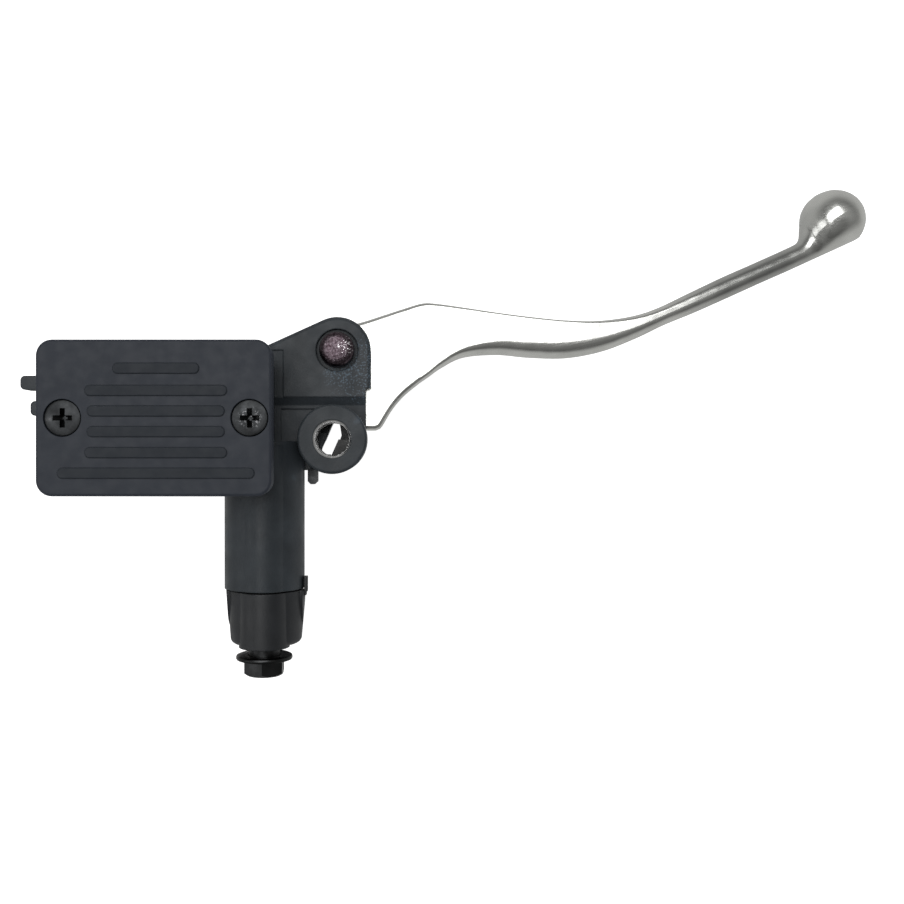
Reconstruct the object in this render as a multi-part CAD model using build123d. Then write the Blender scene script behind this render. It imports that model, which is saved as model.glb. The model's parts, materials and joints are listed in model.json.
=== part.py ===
from build123d import *
import math
import os

# Right-hand front brake master cylinder with its lever, in millimetres.
# Origin: centre of the handlebar clamp, on the handlebar axis.
# +X runs outboard along the handlebar, +Y forward and +Z up.

# ---------------------------------------------------------------- handlebar clamp
bar_radius = 11.1
split_gap = 0.4
arm_center_x = -0.5
arm_half_width = 10.8
clamp_half_width = 10.7
clamp_rear_half_width = 9.5
lower_lug_inset = 2.6
lug_top_z = 22.8
clamp_rear_y = -14.6
clamp_corner_rounding = 1.6
clamp_shell_radius = 15.6
clamp_wing_drop = 1.8
tab_root = ((9.0, 11.0), (-1.6, -0.3), (11.6, 14.0))
tab_tongue = ((10.4, 11.3), (-0.6, 3.4), (11.6, 14.0))
lower_boss_radius = 5.9
flank_drop = 1.0
arm_front_y = 39.7
clamp_bolt_z = 16.0
clamp_boss_radius = 6.75
clamp_thread_radius = 3.0
clamp_shoulder_radius = 4.15
clamp_shoulder_seat_y = -12.0
clamp_washer_y = -17.0
clamp_washer_thickness = 1.2
clamp_washer_radius = 7.5
clamp_head_height = 4.1
clamp_hex_flats = 10.0
clamp_bolt_depth = 15.0
lower_bolt_shift = 2.0

# ---------------------------------------------------------------- reservoir and cap
cap_length = 58.6
cap_width = 39.0
cap_center_x = -25.35
cap_center_y = 45.3
cap_top_z = 34.0
cap_corner_radius = 4.0
cap_edge_rounding = 0.75
rim_z = 28.8
cap_roof_z = 31.0
cap_bar_height = 0.35
cap_bar_width = 2.8
# raised plain bars on the cap: y of the row and its length
cap_bars = [(57.6, 21.6), (52.1, 35.4), (47.0, 34.2), (41.9, 34.2), (36.7, 35.4), (31.6, 49.0)]
tub_length = 55.8
tub_width = 36.2
tub_wall = 2.6
tub_bottom_z = 13.0
tub_floor_z = 15.5
tub_corner_radius = 5.0
tub_bottom_rounding = 2.0
stop_lugs = [((-63.7, -50.0), (53.2, 56.9), (14.2, 19.5)), ((-61.4, -50.0), (46.4, 50.3), (14.2, 18.5))]
baffle_x_range = (-28.4, -6.4)
baffle_half_width = 5.0
baffle_height = 3.0
baffle_sheet = 0.8
screw_spacing = 46.4
screw_center_x = -24.75
screw_post_radius = 4.2
screw_thread_radius = 2.5
screw_head_radius = 4.6
screw_rim_height = 0.5
screw_sink = 0.15
screw_length = 11.0
cross_length = 4.6
cross_width = 1.0
cross_depth = 1.6
diaphragm_thickness = 1.2
plate_thickness = 1.0

# ---------------------------------------------------------------- cylinder
barrel_y = 50.2
barrel_z = 4.75
barrel_radius = 9.2
barrel_mouth_x = 14.0
barrel_end_x = -52.5
bore_radius = 6.35
bore_end_x = -34.0
mouth_radius = 7.75
mouth_depth = 6.0
port_thread_radius = 5.0
port_thread_length = 11.0
port_passage_radius = 1.5
supply_port_x = -8.0
supply_port_radius = 1.5
relief_port_x = -21.8
relief_port_radius = 0.6

# ---------------------------------------------------------------- piston group
piston_radius = 6.32
piston_tail_radius = 4.5
piston_land_radius = 4.2
piston_shoulder_x = 7.9
piston_end_x = 17.1
piston_front_x = -16.0
piston_nose_x = -20.6
piston_nose_radius = 2.6
cup_radius = 6.33
cup_length = 4.0
secondary_cup_x = 0.0
spring_wire_radius = 0.5
spring_coil_radius = 4.6
spring_turns = 5.0

# ---------------------------------------------------------------- lever and pivot
pivot_x = 19.3
pivot_y = 64.1
lever_thickness = 9.0
lever_mid_z = barrel_z
lever_boss_radius = 6.5
ear_gap = 0.25
ear_top_z = 15.0
ear_bottom_z = -5.2
ear_radius = 9.0
ear_right_x = 28.35
ear_left_x = 4.9
ear_corner_y = 53.9
ear_step_y = 51.6
flank_degrees = 24.4
deck_right_x = 27.0
back_wall_x = 11.0
deck_top_z = 14.0
deck_step_y = 48.4
deck_step_depth = 0.3
step_left_x = 4.2
ear_ledge_z = 14.75
ear_outer_chamfer = 0.8
nose_radius = 3.9
nose_arm = 14.15
lever_travel_degrees = 15.0
ball_x = 156.5
ball_y = 101.0
ball_radius = 8.5
bush_radius = 5.0
bush_bore_radius = 4.04
pivot_shank_radius = 4.0
pivot_thread_radius = 3.0
pivot_recess_radius = 5.7
pivot_recess_depth = 1.5
pivot_head_radius = 4.7
pivot_head_height = 5.4
pivot_head_rounding = 1.8
pivot_nut_flats = 10.0
pivot_nut_height = 4.6

# blade stations: x, y, heading in degrees, width, thickness, rounding of the finger edge
blade_stations = [
    (48.5, 69.2, 8, 16.2, 9.0, 1.0),
    (60.3, 69.5, -3, 11.8, 9.0, 3.6),
    (75.3, 68.0, -4, 10.8, 9.0, 4.2),
    (88.3, 68.8, 5, 8.5, 8.6, 4.0),
    (100.3, 71.3, 16, 6.1, 8.2, 2.6),
    (112.4, 75.8, 22, 5.7, 7.8, 2.4),
    (128.4, 83.3, 25.5, 5.9, 7.4, 2.5),
    (142.5, 90.0, 26, 6.3, 7.0, 2.8),
    (153.5, 95.6, 27, 6.4, 6.8, 2.9),
]
front_edge_radius = 0.8

# ---------------------------------------------------------------- mirror boss
mirror_x = 18.33
mirror_y = 40.2
mirror_top_z = 23.0
mirror_boss_radius = 9.1
mirror_boss_rounding = 0.7
mirror_thread_radius = 5.0

# ---------------------------------------------------------------- stop-lamp switch
plunger_x = 23.4
plunger_radius = 1.4
plunger_tip_y = 42.72
switch_front_y = 40.3
switch_top_z = 8.7
switch_bottom_z = 1.2
flange_z = (-1.8, -0.1)
switch_tail_top_z = 5.7
pad_top_z = 10.5

# ---------------------------------------------------------------- sight glass
sight_x = -34.4
sight_z = 20.8
sight_ring_radius = 6.9
sight_seat_radius = 5.9
sight_bore_radius = 4.6
sight_glass_radius = 4.9

# ---------------------------------------------------------------- retaining ring
circlip_x = 9.2
circlip_thickness = 1.0
circlip_outer_radius = 8.2
circlip_inner_radius = 6.3

# ---------------------------------------------------------------- switch screw
switch_screw_x = 12.9
switch_screw_y = 34.2
switch_screw_radius = 1.45
switch_screw_hole_radius = 1.5
switch_screw_head_radius = 2.2
switch_screw_head_height = 1.8

# ---------------------------------------------------------------- derived heights
lever_bottom_z = lever_mid_z - lever_thickness / 2
lever_top_z = lever_mid_z + lever_thickness / 2
slot_bottom_z = lever_bottom_z - ear_gap
slot_top_z = lever_top_z + ear_gap
barrel_bottom_z = barrel_z - barrel_radius

os.makedirs("parts", exist_ok=True)


def block(x_range, y_range, z_range):
    """Box between two corners, given as three ranges."""
    size = [high - low for low, high in (x_range, y_range, z_range)]
    center = [(high + low) / 2 for low, high in (x_range, y_range, z_range)]
    return Pos(*center) * Box(*size)


def rod_x(x_range, y, z, radius):
    """Round bar along X."""
    length = x_range[1] - x_range[0]
    return Pos(sum(x_range) / 2, y, z) * Rot(0, 90, 0) * Cylinder(radius, length)


def rod_y(y_range, x, z, radius):
    """Round bar along Y."""
    length = y_range[1] - y_range[0]
    return Pos(x, sum(y_range) / 2, z) * Rot(90, 0, 0) * Cylinder(radius, length)


def rod_z(z_range, x, y, radius):
    """Round bar along Z."""
    length = z_range[1] - z_range[0]
    return Pos(x, y, sum(z_range) / 2) * Cylinder(radius, length)


def rounded_slab(length, width, corner, z_range, x=cap_center_x, y=cap_center_y):
    """Upright rounded rectangle between two heights."""
    outline = Pos(x, y, z_range[0]) * RectangleRounded(length, width, corner)
    return extrude(outline, z_range[1] - z_range[0])


def hexagon_face(flats):
    """Hexagon measured across its flats."""
    return RegularPolygon(flats / 2, 6, major_radius=False)


def screw_centers():
    """Plan positions of the two cap screws."""
    half = screw_spacing / 2
    return [(screw_center_x + side * half, cap_center_y) for side in (-1, 1)]


def clamp_places():
    """Height of each clamp bolt and how much deeper it sits."""
    return [(clamp_bolt_z, 0.0), (-clamp_bolt_z, lower_bolt_shift)]


def round_lug(center_x, front_half, rear_half, y_front, y_rear, top_z):
    """Upright lug along Y with round ends, the lower one smaller, tapering to its rear."""
    sections = []
    for y, half in ((y_front, front_half), (y_rear, rear_half)):
        low_half = half - lower_lug_inset
        upper = Pos(top_z - half, 0) * Circle(half)
        lower = Pos(low_half - top_z, 0) * Circle(low_half)
        plane = Plane(origin=(center_x, y, 0), x_dir=(0, 0, 1), z_dir=(0, 1, 0))
        sections.append(plane * make_hull(upper.edges() + lower.edges()))
    return loft(sections)


def ear_outline(left_x, rear_y):
    """Ear plate in plan: a straight flank, an arc about the pivot and a straight end."""
    flank_angle = math.radians(flank_degrees)
    tangent_x = pivot_x - ear_radius * math.sin(flank_angle)
    tangent_y = pivot_y + ear_radius * math.cos(flank_angle)
    left_y = tangent_y - (tangent_x - left_x) * math.tan(flank_angle)
    top_angle = math.radians(50)
    arc_mid = (pivot_x + ear_radius * math.sin(top_angle - flank_angle),
               pivot_y + ear_radius * math.cos(top_angle - flank_angle))
    flank = Line((left_x, left_y), (tangent_x, tangent_y))
    nose = ThreePointArc((tangent_x, tangent_y), arc_mid, (ear_right_x, pivot_y))
    rest = Polyline((ear_right_x, pivot_y), (ear_right_x, rear_y), (left_x, rear_y), (left_x, left_y))
    return make_face(flank + nose + rest)


def tub_cavity():
    """Space for the fluid inside the tub."""
    return rounded_slab(tub_length - 2 * tub_wall, tub_width - 2 * tub_wall,
                        tub_corner_radius - tub_wall, (tub_floor_z, rim_z))


def reservoir():
    """Tub with its screw posts and the ring around the sight glass."""
    outer = rounded_slab(tub_length, tub_width, tub_corner_radius, (tub_bottom_z, rim_z))
    outer = fillet(outer.edges().group_by(Axis.Z)[0], tub_bottom_rounding)
    tub = outer - tub_cavity()
    for x, y in screw_centers():
        tub += rod_z((tub_floor_z, rim_z), x, y, screw_post_radius)
    window_ring = rod_y((cap_center_y - tub_width / 2 - 1.0, cap_center_y - tub_width / 2 + 1.0),
                        sight_x, sight_z, sight_ring_radius)
    return tub + window_ring


def clevis():
    """Two ears with the wall behind the lever, the deck and the mirror boss."""
    upper = extrude(Pos(0, 0, slot_top_z) * ear_outline(0, ear_step_y), ear_top_z - slot_top_z)
    outer_edges = [edge for edge in upper.edges().group_by(Axis.Z)[-1] if edge.center().X > pivot_x]
    upper = chamfer(outer_edges, ear_outer_chamfer)
    ramp = make_face(Polyline((0, 52.6, slot_top_z), (0, 52.6, ear_top_z), (0, ear_step_y, ear_top_z - 0.1),
                              (0, 49.4, deck_top_z), (0, 49.4, slot_top_z), (0, 52.6, slot_top_z)))
    upper += extrude(ramp, deck_right_x, dir=(1, 0, 0))
    upper -= block((0, ear_left_x), (ear_step_y, pivot_y), (ear_ledge_z, ear_top_z))
    upper -= block((deck_right_x, ear_right_x), (ear_step_y, ear_corner_y), (slot_top_z, ear_top_z))
    deck = block((0, deck_right_x), (mirror_y - 0.5, ear_step_y + 1.5), (slot_top_z, deck_top_z))
    lower = extrude(Pos(0, 0, ear_bottom_z) * ear_outline(0, 57.5), slot_bottom_z - ear_bottom_z)
    gusset = make_face(Polyline((0, 58.5), (ear_right_x - 1, 58.5), (25.4, 45.2), (17.5, 45.2), (16.9, 43.9),
                                (15.2, 40), (0, 40), (0, 58.5)))
    lower += extrude(Pos(0, 0, ear_bottom_z) * gusset, slot_bottom_z - ear_bottom_z)
    back = block((-6, back_wall_x), (barrel_y, 65.5), (ear_bottom_z, deck_top_z))
    boss = rod_z((slot_top_z, mirror_top_z), mirror_x, mirror_y, mirror_boss_radius)
    boss = fillet(boss.edges().group_by(Axis.Z)[-1], mirror_boss_rounding)
    return upper + deck + lower + back + boss


def switch_pad():
    """Pad beside the arm that carries the stop-lamp switch."""
    outline = make_face(Polyline((8, 31.9), (15.4, 31.9), (15.4, 35.6), (14.5, 36.4), (14.9, 38.0), (16.8, 42.2),
                                 (8, 42.2), (8, 31.9)))
    low = extrude(Pos(0, 0, switch_tail_top_z) * outline, switch_top_z - switch_tail_top_z)
    neck = block((8, 12), (31.9, 42.2), (switch_tail_top_z, pad_top_z))
    return low + neck


def arm():
    """Arm from the barrel to the handlebar, ending in the front half of the clamp."""
    face_y = split_gap / 2
    side = Polyline((0, face_y, -lug_top_z), (0, face_y, lug_top_z), (0, arm_front_y, lug_top_z),
                    (0, arm_front_y, slot_top_z), (0, 46, slot_top_z), (0, 46, barrel_bottom_z),
                    (0, 40, barrel_bottom_z - 2), (0, 19, -lug_top_z), (0, face_y, -lug_top_z))
    web = extrude(make_face(side), 16, both=True)
    column = round_lug(arm_center_x, arm_half_width, arm_half_width, face_y, 48, lug_top_z - flank_drop)
    return (web & column) + rod_y((face_y, arm_front_y - 1), 0, clamp_bolt_z, clamp_boss_radius)


def housing():
    """The casting: reservoir, barrel, clevis, mirror boss, arm and outlet."""
    barrel = rod_x((barrel_end_x, barrel_mouth_x), barrel_y, barrel_z, barrel_radius)
    barrel_web = block((-50, 10), (barrel_y - 8.6, barrel_y + 8.6), (barrel_z, tub_bottom_z + 1))
    body = reservoir() + barrel + barrel_web + clevis() + (arm() - tub_cavity())
    left_wall_x = cap_center_x - tub_length / 2
    for lug in stop_lugs:
        rounded = fillet(block(*lug).edges().filter_by(Axis.Z), 1.2)
        body += rounded & block((-70, left_wall_x + 1), (40, 60), (10, 20))
    step = block((step_left_x, mirror_x), (mirror_y - 0.5, deck_step_y), (deck_top_z - deck_step_depth, deck_top_z))
    body -= step - rod_z((slot_top_z, mirror_top_z), mirror_x, mirror_y, mirror_boss_radius)

    body -= rod_z((slot_bottom_z, slot_top_z), pivot_x, pivot_y, lever_boss_radius + 0.7)
    body -= block((barrel_mouth_x, 40), (20, 60), (slot_bottom_z, slot_top_z))
    body -= block((pivot_x - 2, 40), (55, 90), (slot_bottom_z, slot_top_z))
    body -= rod_x((barrel_mouth_x, 40), barrel_y, barrel_z, mouth_radius + 0.2)
    body += switch_pad()

    body -= rod_x((bore_end_x, barrel_mouth_x), barrel_y, barrel_z, bore_radius)
    body -= rod_x((barrel_mouth_x - mouth_depth, barrel_mouth_x), barrel_y, barrel_z, mouth_radius)
    body -= rod_x((circlip_x, circlip_x + circlip_thickness), barrel_y, barrel_z, circlip_outer_radius)
    thread_end_x = barrel_end_x + port_thread_length
    body -= rod_x((barrel_end_x, thread_end_x), barrel_y, barrel_z, port_thread_radius)
    body -= rod_x((thread_end_x, bore_end_x), barrel_y, barrel_z, port_passage_radius)
    body -= rod_z((barrel_z, tub_floor_z), supply_port_x, barrel_y, supply_port_radius)
    body -= rod_z((barrel_z, tub_floor_z), relief_port_x, barrel_y, relief_port_radius)

    body -= rod_z((slot_top_z, mirror_top_z), mirror_x, mirror_y, mirror_thread_radius)
    body -= rod_z((slot_top_z, ear_top_z), pivot_x, pivot_y, pivot_shank_radius)
    body -= rod_z((ear_top_z - pivot_recess_depth, ear_top_z), pivot_x, pivot_y, pivot_recess_radius)
    body -= rod_z((ear_bottom_z, slot_bottom_z), pivot_x, pivot_y, pivot_thread_radius)
    for x, y in screw_centers():
        body -= rod_z((rim_z - screw_length + 2, rim_z), x, y, screw_thread_radius)
    body -= rod_x((-30, 30), 0, 0, bar_radius)
    for z, shift in clamp_places():
        body -= rod_y((0, clamp_bolt_depth + shift), 0, z, clamp_thread_radius)
    sight_face_y = cap_center_y - tub_width / 2
    body -= rod_y((sight_face_y - 2, sight_face_y + 1.2), sight_x, sight_z, sight_seat_radius)
    body -= rod_y((sight_face_y - 2, sight_face_y + tub_wall + 1), sight_x, sight_z, sight_bore_radius)
    body -= rod_z((switch_tail_top_z, pad_top_z), switch_screw_x, switch_screw_y, switch_screw_hole_radius)
    return body


def ring_x(x_range, outer, inner):
    """Ring on the barrel axis."""
    hole = rod_x((x_range[0] - 1, x_range[1] + 1), barrel_y, barrel_z, inner)
    return rod_x(x_range, barrel_y, barrel_z, outer) - hole


def screw_head(x, y, clearance):
    """Countersunk head: a thin rim above a 90-degree cone."""
    top = cap_top_z - screw_sink
    cone_height = screw_head_radius - screw_thread_radius
    cone_center = top - screw_rim_height - cone_height / 2
    cone = Cone(screw_thread_radius + clearance, screw_head_radius + clearance, cone_height)
    rim = rod_z((top - screw_rim_height, top), x, y, screw_head_radius + clearance)
    return Pos(x, y, cone_center) * cone + rim


def cap():
    """Filler cap: rounded slab with plain raised bars on top and a recess below."""
    shell = rounded_slab(cap_length, cap_width, cap_corner_radius, (rim_z, cap_top_z))
    shell = fillet(shell.edges().group_by(Axis.Z)[-1], cap_edge_rounding)
    recess = rounded_slab(tub_length + 0.2, tub_width + 0.2, tub_corner_radius, (rim_z, cap_roof_z))
    shell -= recess
    for y, length in cap_bars:
        shell += rounded_slab(length, cap_bar_width, cap_bar_width / 2 - 0.01,
                              (cap_top_z - 0.1, cap_top_z + cap_bar_height), screw_center_x, y)
    for x, y in screw_centers():
        shell -= screw_head(x, y, 0.1)
        shell -= rod_z((cap_top_z - screw_sink, cap_top_z), x, y, screw_head_radius + 0.1)
        shell -= rod_z((rim_z, cap_top_z), x, y, screw_thread_radius + 0.3)
    return shell


def cap_screw(x, y):
    """Countersunk cross-recess screw."""
    top = cap_top_z - screw_sink
    bottom = rim_z - screw_length + 2.5
    screw = screw_head(x, y, 0) + rod_z((bottom, top - 2.0), x, y, screw_thread_radius)
    for angle in (0, 90):
        screw -= Pos(x, y, top) * Rot(0, 0, angle) * Box(cross_length, cross_width, 2 * cross_depth)
    return screw


def diaphragm():
    """Rubber diaphragm: flat rim with a shallow bellows well."""
    z_range = (rim_z, rim_z + diaphragm_thickness)
    sheet = rounded_slab(tub_length - 0.2, tub_width - 0.2, tub_corner_radius - 0.1, z_range)
    well_length = screw_spacing - 2 * screw_post_radius - 2
    outer = rounded_slab(well_length, 26, 4.0, (rim_z - 6, rim_z + diaphragm_thickness),
                         screw_center_x, cap_center_y)
    inner = rounded_slab(well_length - 2.4, 23.6, 2.8, (rim_z - 4.8, rim_z + diaphragm_thickness),
                         screw_center_x, cap_center_y)
    sheet = sheet + outer - inner
    for x, y in screw_centers():
        sheet -= rod_z(z_range, x, y, screw_thread_radius + 0.4)
    return sheet


def diaphragm_plate():
    """Stiff plate that presses the rim of the diaphragm under the cap."""
    low = rim_z + diaphragm_thickness
    plate = rounded_slab(tub_length - 0.4, tub_width - 0.4, tub_corner_radius - 0.2, (low, low + plate_thickness))
    opening = rounded_slab(28, 20, 3.0, (low, low + plate_thickness), screw_center_x, cap_center_y)
    plate -= opening
    for x, y in screw_centers():
        plate -= rod_z((low, low + plate_thickness), x, y, screw_thread_radius + 0.4)
    return plate


def baffle_plate():
    """Splash baffle standing on two feet over the ports in the reservoir floor."""
    top = tub_floor_z + baffle_height
    low, high = baffle_x_range
    y_range = (barrel_y - baffle_half_width, barrel_y + baffle_half_width)
    plate = block((low, high), y_range, (top - baffle_sheet, top))
    for foot in ((low, low + baffle_sheet), (high - baffle_sheet, high)):
        plate += block(foot, y_range, (tub_floor_z, top))
    return plate


def sight_glass():
    """Round window lens."""
    face_y = cap_center_y - tub_width / 2
    return rod_y((face_y - 0.6, face_y + 1.2), sight_x, sight_z, sight_glass_radius)


def sight_glass_seal():
    """Rubber ring around the window lens."""
    face_y = cap_center_y - tub_width / 2
    outer = rod_y((face_y - 0.6, face_y + 1.2), sight_x, sight_z, sight_seat_radius)
    return outer - rod_y((face_y - 2, face_y + 2), sight_x, sight_z, sight_glass_radius)


def clamp_cap():
    """Rear half of the handlebar clamp with its two bolt bosses and a locating tab."""
    face_y = -split_gap / 2
    wings = round_lug(0, clamp_half_width, clamp_rear_half_width, face_y, clamp_rear_y,
                      lug_top_z - clamp_wing_drop)
    wings = fillet(wings.edges().group_by(Axis.Y)[0], clamp_corner_rounding)
    shell = rod_x((-12, 12), 0, 0, clamp_shell_radius) & block((-12, 12), (-20, face_y), (-20, 20))
    shell = shell & round_lug(0, clamp_half_width, clamp_rear_half_width - 0.4, face_y, -20, lug_top_z)
    half = wings + shell
    for (z, _), radius in zip(clamp_places(), (clamp_boss_radius, lower_boss_radius)):
        half += rod_y((clamp_rear_y - 0.3, face_y), 0, z, radius)
    half += block(*tab_root) + block(*tab_tongue)
    half -= rod_x((-30, 30), 0, 0, bar_radius)
    for z, shift in clamp_places():
        half -= rod_y((-20, 0), 0, z, clamp_thread_radius + 0.3)
        half -= rod_y((-20, clamp_shoulder_seat_y + shift), 0, z, clamp_shoulder_radius + 0.15)
    return half


def clamp_bolt(z, shift):
    """Shouldered hex bolt of the clamp."""
    seat_y = clamp_washer_y - clamp_washer_thickness
    plane = Plane(origin=(0, seat_y, z), x_dir=(0, 0, 1), z_dir=(0, -1, 0))
    head = extrude(plane * hexagon_face(clamp_hex_flats), clamp_head_height)
    shoulder = rod_y((seat_y, clamp_shoulder_seat_y), 0, z, clamp_shoulder_radius)
    shank = rod_y((clamp_shoulder_seat_y, clamp_bolt_depth - 1), 0, z, clamp_thread_radius)
    return Pos(0, shift, 0) * (head + shoulder + shank)


def clamp_washer(z, shift):
    """Plain washer under the bolt head."""
    y_range = (clamp_washer_y - clamp_washer_thickness, clamp_washer_y)
    disc = rod_y(y_range, 0, z, clamp_washer_radius)
    return Pos(0, shift, 0) * (disc - rod_y((-25, 0), 0, z, clamp_shoulder_radius + 0.1))


def nose_center():
    """Centre of the lever's round nose with the lever released."""
    angle = math.radians(lever_travel_degrees / 2)
    return (pivot_x + nose_arm * math.sin(angle), pivot_y - nose_arm * math.cos(angle))


def station_edge(station, side):
    """Plan point on the front (+1) or finger (-1) edge of the blade at one station."""
    x, y, heading, width = station[:4]
    angle = math.radians(heading)
    return (x - side * math.sin(angle) * width / 2, y + side * math.cos(angle) * width / 2)


def blade_section(station):
    """Blade cross-section: square front edge, rounded finger edge."""
    x, y, heading, width, thickness, rounding = station
    angle = math.radians(heading)
    plane = Plane(origin=(x, y, lever_mid_z), x_dir=(-math.sin(angle), math.cos(angle), 0),
                  z_dir=(math.cos(angle), math.sin(angle), 0))
    outline = Rectangle(width, thickness)
    outline = fillet(outline.vertices().group_by(Axis.X)[0], rounding)
    outline = fillet(outline.vertices().group_by(Axis.X)[-1], front_edge_radius)
    return plane * outline


def lever_root():
    """Flat root of the lever: pivot boss, pushing nose and heel."""
    nose_x, nose_y = nose_center()
    front_start = (17.0, 70.3)
    heel_top = (34.2, 48.8)
    front_end = station_edge(blade_stations[0], 1)
    rear_end = station_edge(blade_stations[0], -1)
    front = Spline(front_start, (29.6, 74.05), (41.6, 77.5), front_end, tangents=((1, 0.36), (1, -0.08)))
    rear = Spline(heel_top, (41.6, 56.8), rear_end, tangents=((0.6, 0.8), (1, 0.3)))
    heel = Polyline(heel_top, (31.2, 43.9), (29.6, 42.8), (22.0, 42.8), (20.4, 46.3),
                    (nose_x - 2.6, nose_y + 2.6), (15.6, 58.8), (13.6, 62.0), front_start)
    outline = make_face(front + Line(front_end, rear_end) + rear + heel)
    body = extrude(Pos(0, 0, lever_bottom_z) * outline, lever_thickness)
    z_range = (lever_bottom_z, lever_top_z)
    body += rod_z(z_range, pivot_x, pivot_y, lever_boss_radius)
    return body + rod_z(z_range, nose_x, nose_y, nose_radius)


def lever():
    """Brake lever: flat root, lofted blade and ball end, bored for its bush."""
    blade = loft([blade_section(station) for station in blade_stations])
    body = lever_root() + blade
    body += Pos(ball_x, ball_y, lever_mid_z) * Sphere(ball_radius)
    return body - rod_z((lever_bottom_z, lever_top_z), pivot_x, pivot_y, bush_radius)


def pivot_bush():
    """Bronze bush pressed into the lever's pivot boss."""
    z_range = (lever_bottom_z, lever_top_z)
    return rod_z(z_range, pivot_x, pivot_y, bush_radius) - rod_z(z_range, pivot_x, pivot_y, bush_bore_radius)


def pivot_bolt():
    """Pivot bolt: domed head, plain shank in the lever and a threaded end."""
    seat_z = ear_top_z - pivot_recess_depth
    head = rod_z((seat_z, seat_z + pivot_head_height), pivot_x, pivot_y, pivot_head_radius)
    head = fillet(head.edges().group_by(Axis.Z)[-1], pivot_head_rounding)
    shank = rod_z((slot_bottom_z, seat_z), pivot_x, pivot_y, pivot_shank_radius)
    tail = rod_z((ear_bottom_z - pivot_nut_height - 1.5, slot_bottom_z), pivot_x, pivot_y, pivot_thread_radius)
    return head + shank + tail


def pivot_nut():
    """Hex nut under the lower ear."""
    outline = Pos(pivot_x, pivot_y, ear_bottom_z - pivot_nut_height) * hexagon_face(pivot_nut_flats)
    nut = extrude(outline, pivot_nut_height)
    z_range = (ear_bottom_z - pivot_nut_height, ear_bottom_z)
    return nut - rod_z(z_range, pivot_x, pivot_y, pivot_thread_radius)


def piston():
    """Hydraulic piston: spring nose, two lands, a waist and the tail that the lever pushes."""
    body = rod_x((piston_front_x, secondary_cup_x), barrel_y, barrel_z, piston_land_radius)
    body += rod_x((piston_nose_x - 1.5, piston_front_x), barrel_y, barrel_z, piston_nose_radius)
    body += rod_x((piston_front_x, piston_front_x + 3), barrel_y, barrel_z, piston_radius)
    body += rod_x((secondary_cup_x - 2, secondary_cup_x), barrel_y, barrel_z, piston_radius)
    body += rod_x((secondary_cup_x, secondary_cup_x + cup_length), barrel_y, barrel_z, piston_land_radius)
    body += rod_x((secondary_cup_x + cup_length, piston_shoulder_x), barrel_y, barrel_z, piston_radius)
    return body + rod_x((piston_shoulder_x, piston_end_x), barrel_y, barrel_z, piston_tail_radius)


def cup(x_low, inner):
    """Rubber cup with a hollowed lip on its pressure side."""
    body = ring_x((x_low, x_low + cup_length), cup_radius, inner)
    return body - ring_x((x_low - 0.1, x_low + 1.6), cup_radius - 0.8, inner + 0.5)


def return_spring():
    """Helical spring between the end of the bore and the primary cup."""
    low = bore_end_x + spring_wire_radius
    high = piston_nose_x - spring_wire_radius
    length = high - low
    path = Helix(pitch=length / spring_turns, height=length, radius=spring_coil_radius)
    section = Plane(origin=path @ 0, z_dir=path % 0) * Circle(spring_wire_radius)
    coil = sweep(section, path=path, is_frenet=True)
    return Pos(low, barrel_y, barrel_z) * Rot(0, 90, 0) * coil


def dust_boot():
    """Rubber boot that closes the mouth of the barrel around the piston's tail."""
    x_range = (circlip_x + circlip_thickness + 0.1, barrel_mouth_x - 0.4)
    return ring_x(x_range, mouth_radius, piston_tail_radius + 0.35)


def circlip():
    """Internal retaining ring, open over a tenth of its turn."""
    ring = ring_x((circlip_x, circlip_x + circlip_thickness), circlip_outer_radius, circlip_inner_radius)
    gap = block((circlip_x - 1, circlip_x + 2), (barrel_y - 1.8, barrel_y + 1.8), (barrel_z - 10, barrel_z))
    return ring - gap


def stop_washer():
    """Washer that stops the piston's shoulder."""
    return ring_x((barrel_mouth_x - mouth_depth, circlip_x), mouth_radius - 0.1, piston_tail_radius + 0.3)


def brake_switch_body():
    """Stop-lamp switch: plunger housing with a slanted side, a lip under the lever and a screwed tail."""
    low, high = switch_bottom_z, switch_top_z
    left_x = 19.4
    right_x = 25.6
    outline = make_face(Polyline((16.0, 32.6), (22.4, 32.6), (right_x, 35.8), (right_x, switch_front_y),
                                 (left_x, switch_front_y), (16.0, 32.6)))
    body = extrude(Pos(0, 0, flange_z[0]) * outline, high - flange_z[0])
    lip = make_face(Polyline((left_x, switch_front_y - 0.2), (19.9, 41.6), (left_x, 44.8), (right_x, 44.8),
                             (right_x, switch_front_y - 0.2), (left_x, switch_front_y - 0.2)))
    body += extrude(Pos(0, 0, flange_z[0]) * lip, flange_z[1] - flange_z[0])
    body += block((10.6, 17.0), (31.9, 36.2), (low, switch_tail_top_z))
    body -= rod_y((switch_front_y - 4.5, switch_front_y), plunger_x, lever_mid_z, plunger_radius + 0.05)
    return body - rod_z((low, switch_tail_top_z), switch_screw_x, switch_screw_y, switch_screw_hole_radius + 0.1)


def brake_switch_screw():
    """Pan-head screw that holds the switch."""
    head = rod_z((switch_bottom_z - switch_screw_head_height, switch_bottom_z), switch_screw_x, switch_screw_y,
                 switch_screw_head_radius)
    return head + rod_z((switch_bottom_z, pad_top_z - 0.3), switch_screw_x, switch_screw_y, switch_screw_radius)


def switch_terminals():
    """Two 2.8 mm blade terminals with chamfered tips."""
    blades = [block((10.7, 13.5), (27.9, 31.9), (z, z + 0.8)) for z in (1.8, 4.3)]
    return [chamfer(blade.edges().filter_by(Axis.Z).group_by(Axis.Y)[0], 0.8) for blade in blades]


def switch_plunger():
    """Plunger pushed by the lever's heel."""
    return rod_y((switch_front_y - 2.2, plunger_tip_y), plunger_x, lever_mid_z, plunger_radius)


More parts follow.
